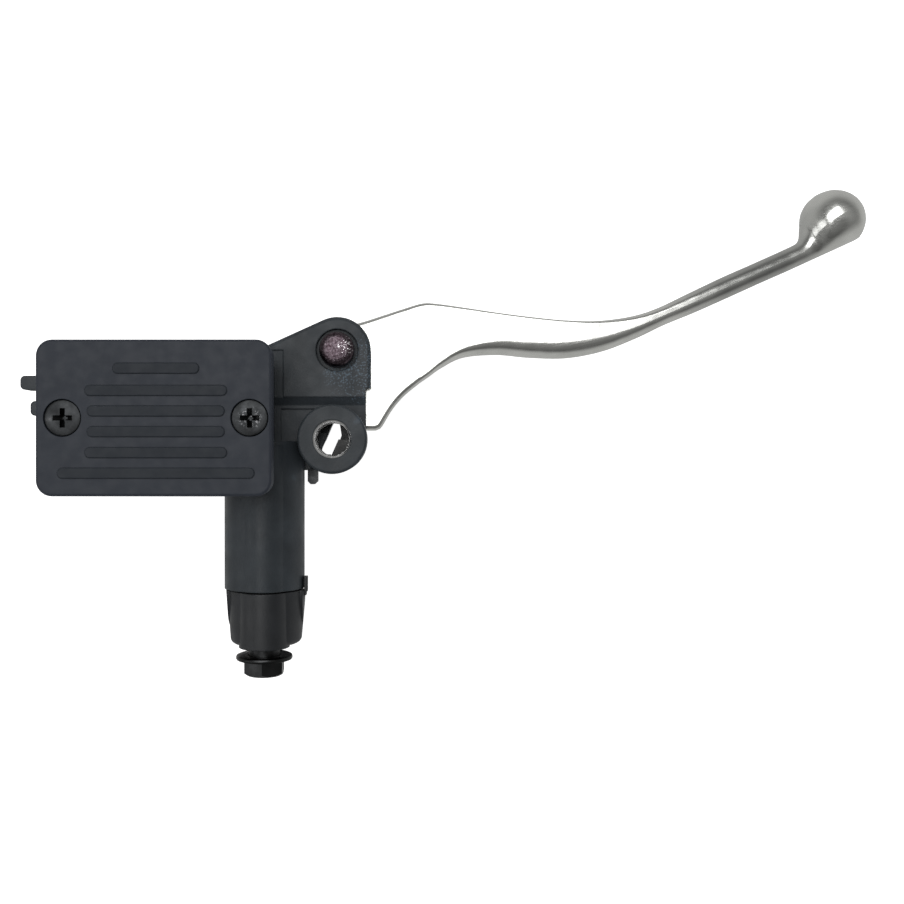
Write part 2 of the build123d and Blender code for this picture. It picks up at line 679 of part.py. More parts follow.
nodes = {
    "master_cylinder_body": housing(),
    "reservoir_cap": cap(),
    "cap_screws": [cap_screw(x, y) for x, y in screw_centers()],
    "diaphragm_plate": diaphragm_plate(),
    "diaphragm": diaphragm(),
    "baffle_plate": baffle_plate(),
    "sight_glass": sight_glass(),
    "sight_glass_seal": sight_glass_seal(),
    "clamp_cap": clamp_cap(),
    "clamp_bolts": [clamp_bolt(z, shift) for z, shift in clamp_places()],
    "clamp_washers": [clamp_washer(z, shift) for z, shift in clamp_places()],
    "lever": lever(),
    "pivot_bush": pivot_bush(),
    "pivot_bolt": pivot_bolt(),
    "pivot_nut": pivot_nut(),
    "piston": piston(),
    "primary_cup": cup(piston_nose_x + 0.6, piston_nose_radius),
    "secondary_cup": cup(secondary_cup_x, piston_land_radius),
    "return_spring": return_spring(),
    "stop_washer": stop_washer(),
    "circlip": circlip(),
    "dust_boot": dust_boot(),
    "brake_switch_body": brake_switch_body(),
    "brake_switch_screw": brake_switch_screw(),
    "switch_terminals": switch_terminals(),
    "switch_plunger": switch_plunger(),
}

for name, shape in nodes.items():
    if isinstance(shape, list):
        shape = Compound(children=[item if isinstance(item, Solid) else item.solids()[0] for item in shape])
    export_step(shape, f"parts/{name}.step")
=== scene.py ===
import bpy
import bmesh
import json
import math
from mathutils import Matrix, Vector
from mathutils.geometry import tessellate_polygon


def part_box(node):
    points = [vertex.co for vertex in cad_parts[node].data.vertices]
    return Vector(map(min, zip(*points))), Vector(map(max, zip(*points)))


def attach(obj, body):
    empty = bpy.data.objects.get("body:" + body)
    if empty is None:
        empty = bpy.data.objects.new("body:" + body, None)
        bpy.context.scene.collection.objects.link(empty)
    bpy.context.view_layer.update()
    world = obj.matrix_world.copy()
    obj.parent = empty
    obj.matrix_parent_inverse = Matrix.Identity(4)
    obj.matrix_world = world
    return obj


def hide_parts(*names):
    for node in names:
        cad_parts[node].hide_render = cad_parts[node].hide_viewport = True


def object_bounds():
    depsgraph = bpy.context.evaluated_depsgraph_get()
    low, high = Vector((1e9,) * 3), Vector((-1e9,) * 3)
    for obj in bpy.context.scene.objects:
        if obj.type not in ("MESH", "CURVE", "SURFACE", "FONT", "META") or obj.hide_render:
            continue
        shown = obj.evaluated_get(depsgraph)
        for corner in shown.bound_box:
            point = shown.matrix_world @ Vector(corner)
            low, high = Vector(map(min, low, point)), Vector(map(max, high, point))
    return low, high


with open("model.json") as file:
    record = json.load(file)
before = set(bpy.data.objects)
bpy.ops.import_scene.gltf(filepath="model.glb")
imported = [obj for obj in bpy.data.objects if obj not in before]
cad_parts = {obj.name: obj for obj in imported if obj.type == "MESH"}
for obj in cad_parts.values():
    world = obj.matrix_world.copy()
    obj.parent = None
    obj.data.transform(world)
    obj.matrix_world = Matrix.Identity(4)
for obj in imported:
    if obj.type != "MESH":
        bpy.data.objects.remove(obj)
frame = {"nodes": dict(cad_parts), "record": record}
cad_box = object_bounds()
nodes = frame["nodes"]
record = frame["record"]
MM = 0.001


# ---------------------------------------------------------------- materials

class Shader:
    """Node tree of one procedural material."""

    def __init__(self, name, color, roughness, metallic=0.0, specular=0.5):
        self.material = bpy.data.materials.new(name)
        self.material.use_nodes = True
        self.tree = self.material.node_tree
        self.shader = self.tree.nodes["Principled BSDF"]
        self.set("Base Color", (*color, 1.0))
        self.set("Roughness", roughness)
        self.set("Metallic", metallic)
        self.set("Specular IOR Level", specular)
        self.coordinates = self.tree.nodes.new("ShaderNodeTexCoord").outputs["Object"]
        self.height = None

    def add(self, kind, **settings):
        node = self.tree.nodes.new(kind)
        for key, value in settings.items():
            setattr(node, key, value)
        return node

    def set(self, socket, value):
        self.shader.inputs[socket].default_value = value

    def link(self, output, target):
        self.tree.links.new(output, target)

    def noise(self, feature_mm, detail=2.0, stretch=(1, 1, 1), turn=0.0, contrast=None):
        """Noise with features about that many millimetres wide, 0 to 1."""
        mapping = self.add("ShaderNodeMapping", vector_type="TEXTURE")
        mapping.inputs["Rotation"].default_value = (0, 0, math.radians(turn))
        mapping.inputs["Scale"].default_value = stretch
        self.link(self.coordinates, mapping.inputs["Vector"])
        noise = self.add("ShaderNodeTexNoise")
        noise.inputs["Scale"].default_value = 1.0 / (feature_mm * MM)
        noise.inputs["Detail"].default_value = detail
        self.link(mapping.outputs["Vector"], noise.inputs["Vector"])
        if contrast is None:
            return noise.outputs["Fac"]
        return self.range(noise.outputs["Fac"], 0.0, 1.0, *contrast)

    def range(self, value, low, high, start=0.35, end=0.65):
        """Maps start..end of a value to low..high."""
        mapped = self.add("ShaderNodeMapRange")
        mapped.inputs["From Min"].default_value = start
        mapped.inputs["From Max"].default_value = end
        mapped.inputs["To Min"].default_value = low
        mapped.inputs["To Max"].default_value = high
        self.link(value, mapped.inputs["Value"])
        return mapped.outputs["Result"]

    def math(self, operation, first, second):
        node = self.add("ShaderNodeMath", operation=operation)
        self.link(first, node.inputs[0])
        self.link(second, node.inputs[1])
        return node.outputs["Value"]

    def near(self, point_mm, inner_mm, outer_mm):
        """1 within the inner distance of a point, placed as at rest, falling to 0 at the outer one."""
        distance = self.add("ShaderNodeVectorMath", operation="DISTANCE")
        self.link(self.coordinates, distance.inputs[0])
        distance.inputs[1].default_value = [c * MM for c in point_mm]
        return self.range(distance.outputs["Value"], 1.0, 0.0, inner_mm * MM, outer_mm * MM)

    def tint(self, value, dark, light, bright=None):
        """Colours the surface by a 0 to 1 value; bright is a third colour for values near 1."""
        ramp = self.add("ShaderNodeValToRGB")
        ramp.color_ramp.elements[0].position = 0.3
        ramp.color_ramp.elements[1].position = 0.7
        ramp.color_ramp.elements[0].color = (*dark, 1.0)
        ramp.color_ramp.elements[1].color = (*light, 1.0)
        if bright is not None:
            ramp.color_ramp.elements.new(1.0).color = (*bright, 1.0)
        self.link(value, ramp.inputs["Fac"])
        self.link(ramp.outputs["Color"], self.shader.inputs["Base Color"])

    def rough(self, value, low, high):
        self.link(self.range(value, low, high), self.shader.inputs["Roughness"])

    def bump(self, value, height_mm):
        """Adds one layer of relief."""
        bump = self.add("ShaderNodeBump")
        bump.inputs["Distance"].default_value = height_mm * MM
        bump.inputs["Strength"].default_value = 1.0
        self.link(value, bump.inputs["Height"])
        if self.height is not None:
            self.link(self.height, bump.inputs["Normal"])
        self.height = bump.outputs["Normal"]
        self.link(self.height, self.shader.inputs["Normal"])

    def soft_edges(self, radius_mm):
        """Rounds sharp casting edges in the shading only."""
        bevel = self.add("ShaderNodeBevel", samples=6)
        bevel.inputs["Radius"].default_value = radius_mm * MM
        self.height = bevel.outputs["Normal"]
        self.link(self.height, self.shader.inputs["Normal"])


# Colour of the painted bluish glints on the black paint.
PAINT_GLINT = (0.090, 0.125, 0.160)
# Colour of the painted bright glints on the screw steel.
STEEL_GLINT = (0.24, 0.24, 0.25)


def paint(name, color, roughness, peel_mm, peel_height_mm, specular, glint_point=None):
    """Black paint over a casting, with orange peel and fine grit, and painted highlights: bluish glint specks
    about the glint point.
    """
    s = Shader(name, color, roughness, specular=specular)
    s.soft_edges(0.5)
    s.rough(s.noise(5.0), roughness - 0.06, roughness + 0.08)
    tone = s.noise(7.0)
    # Painted highlight: bluish glint specks near the glint point, in place of light caught by the orange
    # peel.
    if glint_point is not None:
        specks = s.noise(0.45, detail=3.0, contrast=(0.49, 0.67))
        tone = s.math("ADD", tone, s.math("MULTIPLY", specks, s.near(glint_point, 3.0, 12.0)))
    s.tint(tone, [c * 0.85 for c in color], [c * 1.2 for c in color], PAINT_GLINT)
    s.bump(s.noise(peel_mm, detail=3.0), peel_height_mm)
    s.bump(s.noise(0.22, detail=1.0), peel_height_mm * 0.35)
    return s.material


def plastic(name, color, roughness, specular):
    """Moulded plastic with a fine matte grain."""
    s = Shader(name, color, roughness, specular=specular)
    s.soft_edges(0.25)
    s.rough(s.noise(3.0), roughness - 0.05, roughness + 0.05)
    s.tint(s.noise(9.0, detail=4.0), [c * 0.96 for c in color], [c * 1.05 for c in color])
    s.bump(s.noise(0.28, detail=2.0), 0.012)
    return s.material


def metal(name, color, roughness, spread=0.15, glint_point=None):
    """Plated or machined metal with fine grain and slight stains, and painted bright glint specks about the
    glint point.
    """
    s = Shader(name, color, roughness, metallic=1.0)
    s.rough(s.noise(2.5, detail=4.0), roughness * 0.8, roughness * 1.3)
    tone = s.noise(4.0, detail=4.0)
    # Painted highlight: bright glint specks near the glint point.
    if glint_point is not None:
        specks = s.noise(0.5, detail=2.0, contrast=(0.58, 0.66))
        tone = s.math("ADD", tone, s.math("MULTIPLY", specks, s.near(glint_point, 0.8, 3.6)))
    dark = [c * (1 - spread) for c in color]
    light = [min(1.0, c * (1 + spread)) for c in color]
    s.tint(tone, dark, light, STEEL_GLINT if glint_point is not None else None)
    s.bump(s.noise(0.25, detail=2.0), 0.004)
    return s.material


def polished_aluminium(darker_spot):
    """Polished lever: buffing streaks along the blade, a slight waviness and a stretch of darker colour about
    one point.
    """
    s = Shader("polished_aluminium", (0.80, 0.805, 0.775), 0.2, metallic=1.0)
    streaks = s.noise(0.5, detail=3.0, stretch=(14, 1, 1), turn=14)
    s.rough(streaks, 0.16, 0.28)
    clean = s.range(s.noise(8.0, detail=4.0), 0.6, 0.75)
    # Base colour darker within 8 mm of the spot, fading out by 28 mm.
    darker = s.range(s.near(darker_spot, 8.0, 28.0), 0.0, 0.4, 0.0, 1.0)
    s.tint(s.math("SUBTRACT", clean, darker), (0.48, 0.485, 0.47), (0.84, 0.845, 0.815))
    s.bump(s.noise(5.0, detail=1.0), 0.10)
    s.bump(streaks, 0.0012)
    return s.material


def plating_with_glints():
    """Dark plating of the pivot head, mottled, with painted highlight specks on the right of the crown."""
    s = Shader("plating_with_glints", (0.07, 0.055, 0.065), 0.36, metallic=1.0)
    mottle = s.noise(0.7, detail=4.0)
    top = corners_mm("pivot_bolt")[1][2]
    # Painted highlight: near-white specks on the right of the crown.
    specks = s.noise(0.40, detail=2.0, contrast=(0.58, 0.64))
    patch = s.near((pivot[0] + 2.6, pivot[1] + 0.6, top), 0.5, 3.2)
    tone = s.math("ADD", mottle, s.math("MULTIPLY", specks, patch))
    s.tint(tone, (0.032, 0.018, 0.024), (0.13, 0.105, 0.12), (0.85, 0.82, 0.84))
    s.rough(s.noise(0.5, detail=3.0), 0.18, 0.5)
    s.bump(s.noise(0.55, detail=3.0), 0.09)
    return s.material


def rubber():
    """Matte black rubber."""
    s = Shader("black_rubber", (0.016, 0.016, 0.017), 0.75, specular=0.3)
    s.tint(s.noise(3.0, detail=3.0), (0.012, 0.012, 0.013), (0.022, 0.022, 0.022))
    s.rough(s.noise(1.5), 0.68, 0.85)
    s.bump(s.noise(0.3), 0.015)
    return s.material


def window_glass():
    """Clear pane of the sight glass, slightly wavy."""
    s = Shader("window_glass", (0.86, 0.89, 0.88), 0.08)
    s.set("Transmission Weight", 0.9)
    s.rough(s.noise(2.0), 0.05, 0.12)
    s.bump(s.noise(3.0), 0.01)
    return s.material


# ---------------------------------------------------------------- mesh helpers

class Shape:
    """Vertices and faces of one piece, in millimetres in the row frame."""

    def __init__(self):
        self.points = []
        self.faces = []
        self.flat = []

    def ring(self, points):
        """Adds points and returns their indices."""
        start = len(self.points)
        self.points.extend(points)
        return list(range(start, len(self.points)))

    def bridge(self, low, high):
        """Quads between two closed rings of equal length."""
        count = len(low)
        for i in range(count):
            j = (i + 1) % count
            self.faces.append((low[i], low[j], high[j], high[i]))
            self.flat.append(False)

    def strip(self, low, high):
        """Quads between two open rows of equal length."""
        for i in range(len(low) - 1):
            self.faces.append((low[i], low[i + 1], high[i + 1], high[i]))
            self.flat.append(False)

    def fill(self, loops):
        """Flat face inside the first loop and outside the others."""
        order = [index for loop in loops for index in loop]
        corners = [[Vector(self.points[index]) for index in loop] for loop in loops]
        for triangle in tessellate_polygon(corners):
            self.faces.append(tuple(order[k] for k in triangle))
            self.flat.append(True)

    def lathe(self, place, profile, count=48):
        """Closed solid turned about the vertical through place, from (radius, z) pairs top to bottom."""
        rings = [self.ring([(x, y, z) for x, y in circle(place, radius, count)]) for radius, z in profile]
        for low, high in zip(rings, rings[1:]):
            self.bridge(low, high)
        self.fill([rings[0]])
        self.fill([rings[-1]])

    def make(self, name, material, sharp_degrees=32.0, turn=None):
        """Builds the object. turn is a function that moves each point."""
        mesh = bpy.data.meshes.new(name)
        points = [turn(p) for p in self.points] if turn else self.points
        mesh.from_pydata([Vector(p) * MM for p in points], [], self.faces)
        for polygon, is_flat in zip(mesh.polygons, self.flat):
            polygon.use_smooth = not is_flat
        work = bmesh.new()
        work.from_mesh(mesh)
        bmesh.ops.remove_doubles(work, verts=work.verts, dist=1e-7)
        bmesh.ops.recalc_face_normals(work, faces=work.faces)
        limit = math.radians(sharp_degrees)
        for edge in work.edges:
            if len(edge.link_faces) == 2 and edge.calc_face_angle() > limit:
                edge.smooth = False
        work.to_mesh(mesh)
        work.free()
        piece = bpy.data.objects.new(name, mesh)
        bpy.context.scene.collection.objects.link(piece)
        piece.data.materials.append(material)
        return piece


def arc(center, radius, start, end, count):
    """Points of an arc between two angles in degrees."""
    points = []
    for k in range(count + 1):
        angle = math.radians(start + (end - start) * k / count)
        points.append((center[0] + radius * math.cos(angle), center[1] + radius * math.sin(angle)))
    return points


def circle(center, radius, count=48):
    """Points of a full circle."""
    return arc(center, radius, 0, 360 - 360 / count, count - 1)


def between(p, q, r, s, t):
    """Catmull-Rom value at t, 0 to 1, on the way from q to r."""
    slope = (r - p) * t
    bend = (2 * p - 5 * q + 4 * r - s) * t * t
    twist = (3 * q - p - 3 * r + s) * t ** 3
    return 0.5 * (2 * q + slope + bend + twist)


def smooth(rows, steps):
    """Catmull-Rom curve through rows of numbers, with that many steps between two rows."""
    result = []
    last = len(rows) - 1
    for i in range(last):
        before, a, b, after = rows[max(i - 1, 0)], rows[i], rows[i + 1], rows[min(i + 2, last)]
        for k in range(steps):
            result.append(tuple(between(p, q, r, s, k / steps) for p, q, r, s in zip(before, a, b, after)))
    result.append(tuple(rows[last]))
    return result


def inset(outline, distance):
    """Closed counter-clockwise outline moved inwards."""
    result = []
    count = len(outline)
    for i in range(count):
        here = Vector(outline[i])
        first = (here - Vector(outline[i - 1])).normalized()
        second = (Vector(outline[(i + 1) % count]) - here).normalized()
        a = Vector((-first.y, first.x))
        b = Vector((-second.y, second.x))
        move = (a + b) / max(1.0 + a.dot(b), 0.5)
        result.append(tuple(here + move * distance))
    return result


def rounded_rectangle(center, length, width, corner, count=8):
    """Counter-clockwise rounded rectangle in plan."""
    x, y = length / 2 - corner, width / 2 - corner
    points = []
    for sx, sy, start in ((1, 1, 0), (-1, 1, 90), (-1, -1, 180), (1, -1, 270)):
        points += arc((center[0] + sx * x, center[1] + sy * y), corner, start, start + 90, count)
    return points


def upper_edge(radius, top, steps):
    """Inset and height of each ring of a rounded upper edge, from the top down."""
    rings = []
    for k in range(steps + 1):
        angle = math.pi / 2 * k / steps
        rings.append((radius * (1 - math.sin(angle)), top - radius * (1 - math.cos(angle))))
    return rings


def plate(shape, outline, low, high, round_top, round_bottom, holes=(), steps=5):
    """Plate with rounded edges. A hole is (center, [(radius, z) from top to bottom])."""
    rings = upper_edge(round_top, high, steps)
    for k in range(steps + 1):
        angle = math.pi / 2 * k / steps
        rings.append((round_bottom * (1 - math.cos(angle)), low + round_bottom * (1 - math.sin(angle))))
    loops = []
    for distance, z in rings:
        loops.append(shape.ring([(x, y, z) for x, y in inset(outline, distance)]))
    for first, second in zip(loops, loops[1:]):
        shape.bridge(first, second)
    tops, bottoms = [loops[0]], [loops[-1]]
    for center, profile in holes:
        walls = []
        for radius, z in profile:
            walls.append(shape.ring([(x, y, z) for x, y in circle(center, radius)]))
        for first, second in zip(walls, walls[1:]):
            shape.bridge(first, second)
        tops.append(walls[0])
        bottoms.append(walls[-1])
    shape.fill(tops)
    shape.fill(bottoms)


def finish_piece(piece, body, slot, *replaced):
    """Puts a piece on its body, in place of the CAD nodes that it replaces."""
    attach(piece, body)
    if replaced:
        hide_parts(*replaced)


def boolean(piece, cutter, operation):
    """Cuts or trims a piece with another one, and removes the other."""
    modifier = piece.modifiers.new("cut", "BOOLEAN")
    modifier.operation = operation
    modifier.solver = "EXACT"
    modifier.object = cutter
    depsgraph = bpy.context.evaluated_depsgraph_get()
    result = bpy.data.meshes.new_from_object(piece.evaluated_get(depsgraph))
    piece.modifiers.clear()
    piece.data = result
    bpy.data.objects.remove(cutter)
    work = bmesh.new()
    work.from_mesh(result)
    limit = math.radians(28)
    for edge in work.edges:
        edge.smooth = not (len(edge.link_faces) == 2 and edge.calc_face_angle() > limit)
    for face in work.faces:
        face.smooth = True
    work.to_mesh(result)
    work.free()


# ---------------------------------------------------------------- places from the frame

def corners_mm(node):
    """Lowest and highest corner of a CAD node's box."""
    low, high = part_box(node)
    return [c / MM for c in low], [c / MM for c in high]


def named(entries, name):
    """Entry of that name in one of the record's lists."""
    return next(entry for entry in entries if entry["name"] == name)


pivot = [c / MM for c in named(record["behaviour"]["joints"], "lever_pivot")["pos_m"]]
mirror_mount = named(record["mounts"], "mirror_thread")
cap_low, cap_high = corners_mm("reservoir_cap")
screw_low, screw_high = corners_mm("cap_screws")
lever_high = corners_mm("lever")[1]


# ---------------------------------------------------------------- lever

LEVER_THICKNESS = 9.0
EDGE_STEPS = 7
EDGE_SUPPORT = 0.2
# front x, y and rear x, y from the pivot; thickness; front edge rounding across and down; rear the same
BLADE = [
    (19.6, 12.6, 22.5, -8.05, 9.00, 1.20, 1.20, 1.20, 1.20),
    (23.4, 13.6, 25.2, -6.20, 9.00, 1.15, 1.20, 1.25, 1.50),
    (27.4, 13.4, 28.8, -3.70, 9.00, 0.95, 1.10, 1.60, 2.30),
    (35.1, 12.3, 34.7, -1.00, 9.00, 0.75, 1.00, 2.30, 3.50),
    (44.2, 10.9, 43.9, -0.30, 9.00, 0.60, 0.90, 3.40, 4.30),
    (53.3, 9.75, 53.2, -1.10, 9.00, 0.60, 0.90, 3.80, 4.40),
    (62.4, 8.90, 63.4, -1.2, 8.80, 0.60, 1.00, 4.00, 4.30),
    (71.55, 8.90, 73.5, 0.75, 8.50, 0.90, 2.00, 3.60, 4.20),
    (80.66, 10.2, 82.9, 4.4, 8.20, 1.30, 2.80, 2.90, 4.00),
    (88.0, 12.5, 90.4, 8.0, 7.80, 1.50, 3.20, 2.50, 3.80),
    (96.45, 16.5, 98.7, 11.4, 7.40, 1.90, 3.40, 2.70, 3.60),
    (106.1, 21.1, 108.6, 15.8, 7.00, 2.50, 3.40, 2.80, 3.45),
    (113.8, 24.5, 116.3, 19.3, 6.70, 2.80, 3.30, 2.80, 3.30),
]
BALL_RADIUS = 8.5
BALL_HEADING = 24.55
HANDLE_REAR = -7.45
HANDLE_HALF_THICKNESS = 3.2
NECK_FILLET = 4.5
# front line from the handle round the neck to the ball: distance along, distance across
NECK = [(-16.7, -1.65), (-14.0, -1.62), (-12.2, -1.55), (-11.3, -1.35), (-10.5, -0.85), (-9.8, -0.1),
        (-9.25, 0.8), (-8.8, 1.7), (-8.4, 2.5)]


def section(front, rear, thickness, edges):
    """One closed ring of the blade between its front and rear points."""
    front, rear = Vector(front), Vector(rear)
    width = (front - rear).length
    across = (front - rear) / width
    middle = (front + rear) / 2
    half, tall = width / 2, thickness / 2
    front_x, front_z, rear_x, rear_z = edges
    front_x, rear_x = min(front_x, half - 0.03), min(rear_x, half - 0.03)
    front_z, rear_z = min(front_z, tall - 0.03), min(rear_z, tall - 0.03)
    points = []
    for side, x, z in ((1, front_x, front_z), (-1, rear_x, rear_z)):
        flat_x, flat_z = half - x, tall - z
        run_x, run_z = min(EDGE_SUPPORT, flat_x / 2), min(EDGE_SUPPORT, flat_z / 2)
        corner = [(flat_x - run_x, tall)]
        for k in range(EDGE_STEPS + 1):
            angle = math.pi / 2 * k / EDGE_STEPS
            corner.append((flat_x + x * math.sin(angle), flat_z + z * math.cos(angle)))
        corner.append((half, flat_z - run_z))
        mirrored = [(a, -b) for a, b in reversed(corner)]
        half_ring = corner + mirrored
        if side < 0:
            half_ring = [(-a, b) for a, b in reversed(half_ring)]
        points += half_ring
    height = pivot[2]
    return [(*(middle + across * a), height + b) for a, b in points]


def neck_half(distance):
    """Half thickness along the neck: the handle, a fillet and the ball."""
    reach = math.sqrt((BALL_RADIUS + NECK_FILLET) ** 2 - (HANDLE_HALF_THICKNESS + NECK_FILLET) ** 2)
    if distance < -reach:
        return HANDLE_HALF_THICKNESS
    if distance < -reach * BALL_RADIUS / (BALL_RADIUS + NECK_FILLET):
        return HANDLE_HALF_THICKNESS + NECK_FILLET - math.sqrt(NECK_FILLET ** 2 - (distance + reach) ** 2)
    return math.sqrt(max(BALL_RADIUS ** 2 - distance ** 2, 0.0))


def ball_sections():
    """Rings from the end of the blade round the neck and over the ball."""
    center = Vector((lever_high[0] - BALL_RADIUS, lever_high[1] - BALL_RADIUS))
    heading = math.radians(BALL_HEADING)
    along = Vector((math.cos(heading), math.sin(heading)))
    across = Vector((-math.sin(heading), math.cos(heading)))
    lines = smooth(NECK, 3)
    for degrees in range(-72, 87, 6):
        angle = math.radians(degrees)
        lines.append((BALL_RADIUS * math.sin(angle), BALL_RADIUS * math.cos(angle)))
    rings = []
    for distance, front in lines:
        half = neck_half(distance)
        rear = HANDLE_REAR if distance < 0 else max(HANDLE_REAR, -half)
        a = center + along * distance + across * front
        b = center + along * distance + across * rear
        round_edges = ((front - rear) / 2, half, (front - rear) / 2, half)
        rings.append(section(a, b, 2 * half, round_edges))
    return rings


def blade_rings():
    """Rings of the blade, from the lever's root to the neck."""
    rings = []
    origin = Vector(pivot[:2])
    for row in smooth(BLADE, 8):
        front, rear = origin + Vector(row[0:2]), origin + Vector(row[2:4])
        rings.append(section(front, rear, row[4], row[5:9]))
    return rings


PIVOT_BOSS_RADIUS = 6.5
NOSE = (1.85, -14.03)
NOSE_RADIUS = 3.9
ROOT_ROUNDING = 1.2
BORE_CHAMFER = 0.3


def lever_plate():
    """Flat root: boss round the pivot, pushing nose and heel. Its points count from the pivot."""
    px, py = pivot[:2]
    nose = (px + NOSE[0], py + NOSE[1])
    front = smooth([(-2.2, 6.1), (6.5, 8.4), (11.4, 9.95), (16.9, 11.75), (19.6, 12.6), (20.6, 12.9)], 4)
    heel = smooth([(24.0, -7.0), (22.5, -8.05), (18.4, -11.4), (15.1, -15.2), (12.3, -19.8)], 4)
    outline = [(px + x, py + y) for x, y in heel]
    outline += [(px + 11.6, py - 20.7), (px + 10.3, py - 21.25), (px + 2.75, py - 21.25)]
    outline += arc(nose, NOSE_RADIUS, 255, 150, 10)
    outline += arc((px, py), PIVOT_BOSS_RADIUS, 235, 112, 12)
    outline += [(px + x, py + y) for x, y in front]
    outline.reverse()
    return outline


def make_lever(material):
    """Blade with its ball end, and the flat root with the bore for the bush."""
    shape = Shape()
    rings = [shape.ring(points) for points in blade_rings() + ball_sections()]
    for low, high in zip(rings, rings[1:]):
        shape.bridge(low, high)
    shape.fill([rings[0]])
    shape.fill([rings[-1]])
    blade = shape.make("lever_blade", material, sharp_degrees=50)
    finish_piece(blade, "lever_body", "polished_lever", "lever")

    root = Shape()
    low, high = pivot[2] - LEVER_THICKNESS / 2, pivot[2] + LEVER_THICKNESS / 2
    bush_low, bush_high = corners_mm("pivot_bush")
    bore = (bush_high[0] - bush_low[0]) / 2
    wide = bore + BORE_CHAMFER
    hole = (pivot[:2], [(wide, high), (bore, high - BORE_CHAMFER), (bore, low + BORE_CHAMFER), (wide, low)])
    plate(root, lever_plate(), low + 0.01, high - 0.01, ROOT_ROUNDING, ROOT_ROUNDING, [hole])
    finish_piece(root.make("lever_root", material), "lever_body", "polished_lever", "lever")


# ---------------------------------------------------------------- cap and its screws

BAR_HEIGHT = 0.35
BAR_WIDTH = 2.8
# across the cap from its screws, and length
BARS = [(12.3, 21.6), (6.8, 35.4), (1.7, 34.2), (-3.4, 34.2), (-8.6, 35.4), (-13.7, 49.0)]
CAP_CORNER = 4.0
CAP_EDGE = 0.75
CAP_FOOT = 0.25
CAP_WALL = 1.3
CAP_ROOF = 2.2
SCREW_HOLE = 2.8


def screw_places():
    """Centres of the two cap screws, and the radius of their heads."""
    radius = (screw_high[1] - screw_low[1]) / 2
    y = (screw_high[1] + screw_low[1]) / 2
    return [(screw_low[0] + radius, y), (screw_high[0] - radius, y)], radius


def make_cap(material, shaded_bar_material):
    """Filler cap with rounded edges, countersunk screw seats and six plain raised bars; the bars' darker
    colour is painted shade.
    """
    places, radius = screw_places()
    top = cap_high[2] - BAR_HEIGHT
    low = cap_low[2]
    center = ((cap_low[0] + cap_high[0]) / 2, (cap_low[1] + cap_high[1]) / 2)
    length, width = cap_high[0] - cap_low[0], cap_high[1] - cap_low[1]
    roof = low + CAP_ROOF
    shape = Shape()
    outline = rounded_rectangle(center, length, width, CAP_CORNER, 10)
    loops = upper_edge(CAP_EDGE, top, 6) + [(0.0, low + CAP_FOOT), (CAP_FOOT, low)]
    rings = [shape.ring([(x, y, z) for x, y in inset(outline, d)]) for d, z in loops]
    for a, b in zip(rings, rings[1:]):
        shape.bridge(a, b)
    rim = shape.ring([(x, y, low) for x, y in inset(outline, CAP_WALL)])
    ceiling = shape.ring([(x, y, roof) for x, y in inset(outline, CAP_WALL)])
    shape.bridge(rings[-1], rim)
    shape.bridge(rim, ceiling)
    tops, roofs = [rings[0]], [ceiling]
    for place in places:
        seat = radius + 0.1
        profile = [(seat + 0.04, top), (seat, top - 0.06), (seat, top - 0.75), (SCREW_HOLE, top - 2.6),
                   (SCREW_HOLE, roof)]
        walls = [shape.ring([(x, y, z) for x, y in circle(place, r)]) for r, z in profile]
        for a, b in zip(walls, walls[1:]):
            shape.bridge(a, b)
        tops.append(walls[0])
        roofs.append(walls[-1])
    shape.fill(tops)
    shape.fill(roofs)
    finish_piece(shape.make("filler_cap", material), "housing", "cap_plastic", "reservoir_cap")

    middle = (places[0][0] + places[1][0]) / 2
    bars = Shape()
    for y, bar_length in BARS:
        bar_center = (middle, places[0][1] + y)
        outline = rounded_rectangle(bar_center, bar_length, BAR_WIDTH, BAR_WIDTH / 2 - 0.05, 6)
        plate(bars, outline, top - 0.1, top + BAR_HEIGHT, 0.3, 0.0, steps=3)
    finish_piece(bars.make("cap_bars", shaded_bar_material), "housing", "cap_plastic")


def make_cap_screws(material):
    """Countersunk screws with a cross recess that narrows downwards."""
    places, radius = screw_places()
    top, low = screw_high[2], screw_low[2]
    for index, place in enumerate(places):
        head = Shape()
        crown = [(0.6, top - 0.02), (2.6, top - 0.03), (radius - 0.5, top - 0.1), (radius - 0.2, top - 0.2)]
        countersink = [(radius - 0.02, top - 0.45), (radius - 0.05, top - 0.6), (2.55, top - 2.5)]
        shank = [(2.45, top - 2.8), (2.45, low + 0.4), (2.1, low)]
        head.lathe(place, crown + countersink + shank)
        piece = head.make(f"cap_screw_{index}", material)
        cutter = Shape()
        rows = []
        for z, reach, thin in ((top + 0.5, 2.75, 0.72), (top - 1.1, 1.75, 0.5), (top - 2.2, 0.6, 0.25)):
            quarter = [(reach, -thin), (reach, thin), (thin, thin)]
            points = quarter + [(-y, x) for x, y in quarter] + [(-x, -y) for x, y in quarter]
            points += [(y, -x) for x, y in quarter]
            rows.append(cutter.ring([(place[0] + x, place[1] + y, z) for x, y in points]))
        for first, second in zip(rows, rows[1:]):
            cutter.bridge(first, second)
        cutter.fill([rows[0]])
        cutter.fill([rows[-1]])
        boolean(piece, cutter.make("cutter", material), "DIFFERENCE")
        finish_piece(piece, "housing", "cap_screw_steel", "cap_screws")


# ---------------------------------------------------------------- mirror thread

